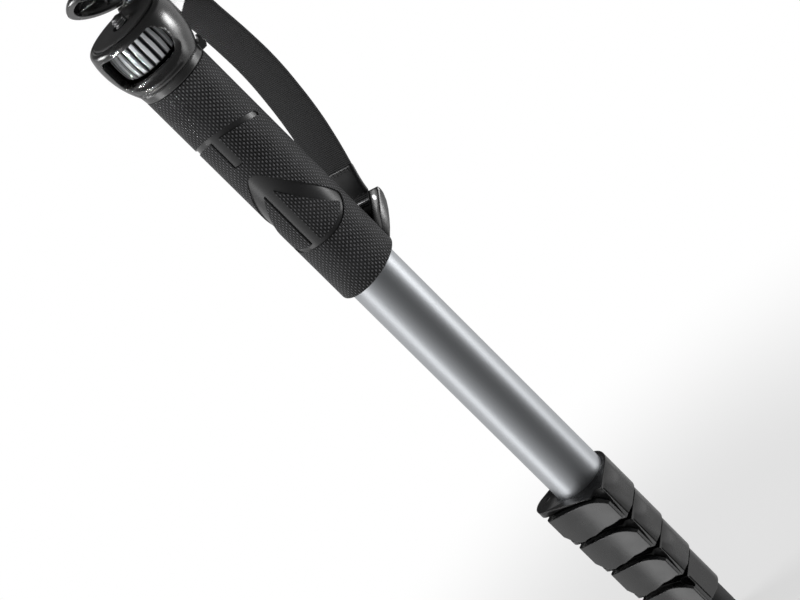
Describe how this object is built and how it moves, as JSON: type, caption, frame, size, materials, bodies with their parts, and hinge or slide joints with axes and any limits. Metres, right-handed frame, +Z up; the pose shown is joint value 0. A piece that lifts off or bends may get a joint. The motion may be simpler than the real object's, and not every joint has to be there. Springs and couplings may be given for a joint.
{
  "type": "camera monopod",
  "caption": "Compact telescoping camera monopod, closed, with stepped tubes, nested flip-lever clamps, knurled grip, wrist strap, thumb wheel and hinged screw cover.",
  "frame": {"origin": "centre of the rubber foot's bottom face", "axes": "+Z up the column to the camera platform, -Y towards the thumb wheel's window"},
  "size_m": [0.0532, 0.0672, 0.4207],
  "materials": {
    "tube_metal": "satin anodised",
    "acetal": "plain moulded",
    "clamp_black": "fine moulded",
    "lever_grey": "satin moulded",
    "pin_steel": "turned",
    "foot_rubber": "moulded",
    "grip_rubber": "fine diamond knurl with smooth raised bands",
    "head_black": "satin moulded",
    "plate_black": "black",
    "pad_rubber": "fine grain",
    "wheel_chrome": "bright plated, ribbed",
    "webbing": "woven webbing with fine cross ribs"
  },
  "bodies": {
    "column": {"tube_1": "tube_metal", "clamp_collar_1": "clamp_black", "lever_pin_1": "pin_steel", "brake_shoe_1": "acetal", "clamp_liner_1": "acetal", "grip": "grip_rubber", "strap_anchor": "clamp_black", "anchor_pin": "pin_steel", "wrist_strap": "webbing", "head_collar": "head_black", "head_plug": "head_black", "head_housing": "head_black", "platform_plate": "plate_black", "camera_pad": "pad_rubber", "wheel_washer": "acetal", "cover_hinge_pin": "pin_steel", "strap_bracket": "head_black", "strap_bar": "pin_steel"},
    "section_2": {"tube_2": "tube_metal", "guide_bush_2": "acetal", "clamp_collar_2": "clamp_black", "lever_pin_2": "pin_steel", "brake_shoe_2": "acetal", "clamp_liner_2": "acetal"},
    "section_3": {"tube_3": "tube_metal", "guide_bush_3": "acetal", "clamp_collar_3": "clamp_black", "lever_pin_3": "pin_steel", "brake_shoe_3": "acetal", "clamp_liner_3": "acetal"},
    "section_4": {"tube_4": "tube_metal", "guide_bush_4": "acetal", "clamp_collar_4": "clamp_black", "lever_pin_4": "pin_steel", "brake_shoe_4": "acetal", "clamp_liner_4": "acetal"},
    "section_5": {"tube_5": "tube_metal", "guide_bush_5": "acetal", "foot_plug": "head_black", "rubber_foot": "foot_rubber"},
    "lever_1": {"clamp_lever_1": "lever_grey"},
    "lever_2": {"clamp_lever_2": "lever_grey"},
    "lever_3": {"clamp_lever_3": "lever_grey"},
    "lever_4": {"clamp_lever_4": "lever_grey"},
    "wheel": {"thumb_wheel": "wheel_chrome", "camera_screw": "pin_steel", "wheel_clip": "pin_steel"},
    "cover": {"screw_cover": "head_black"}
  },
  "joints": [
    {"name": "slide_2", "type": "slide", "parent": "column", "child": "section_2", "axis": [0, 0, -1], "range_m": [0, 0.255]},
    {"name": "slide_3", "type": "slide", "parent": "section_2", "child": "section_3", "axis": [0, 0, -1], "range_m": [0, 0.275]},
    {"name": "slide_4", "type": "slide", "parent": "section_3", "child": "section_4", "axis": [0, 0, -1], "range_m": [0, 0.295]},
    {"name": "slide_5", "type": "slide", "parent": "section_4", "child": "section_5", "axis": [0, 0, -1], "range_m": [0, 0.315]},
    {"name": "flip_lever_1", "type": "hinge", "parent": "column", "child": "lever_1", "pos_m": [-0.01779, 0.00131, 0.0929], "axis": [0, 0, -1], "range_deg": [0, 100]},
    {"name": "flip_lever_2", "type": "hinge", "parent": "section_2", "child": "lever_2", "pos_m": [-0.01672, 0.00123, 0.0726], "axis": [0, 0, -1], "range_deg": [0, 100]},
    {"name": "flip_lever_3", "type": "hinge", "parent": "section_3", "child": "lever_3", "pos_m": [-0.01565, 0.00115, 0.0523], "axis": [0, 0, -1], "range_deg": [0, 100]},
    {"name": "flip_lever_4", "type": "hinge", "parent": "section_4", "child": "lever_4", "pos_m": [-0.01459, 0.00107, 0.032], "axis": [0, 0, -1], "range_deg": [0, 100]},
    {"name": "wheel_spin", "type": "hinge", "parent": "column", "child": "wheel", "pos_m": [0, 0, 0.3843], "axis": [0, 0, 1], "continuous": true},
    {"name": "cover_hinge", "type": "hinge", "parent": "column", "child": "cover", "pos_m": [0.00436, 0.01747, 0.396], "axis": [-0.9703, 0.2419, 0], "range_deg": [-39, 66]}
  ]
}
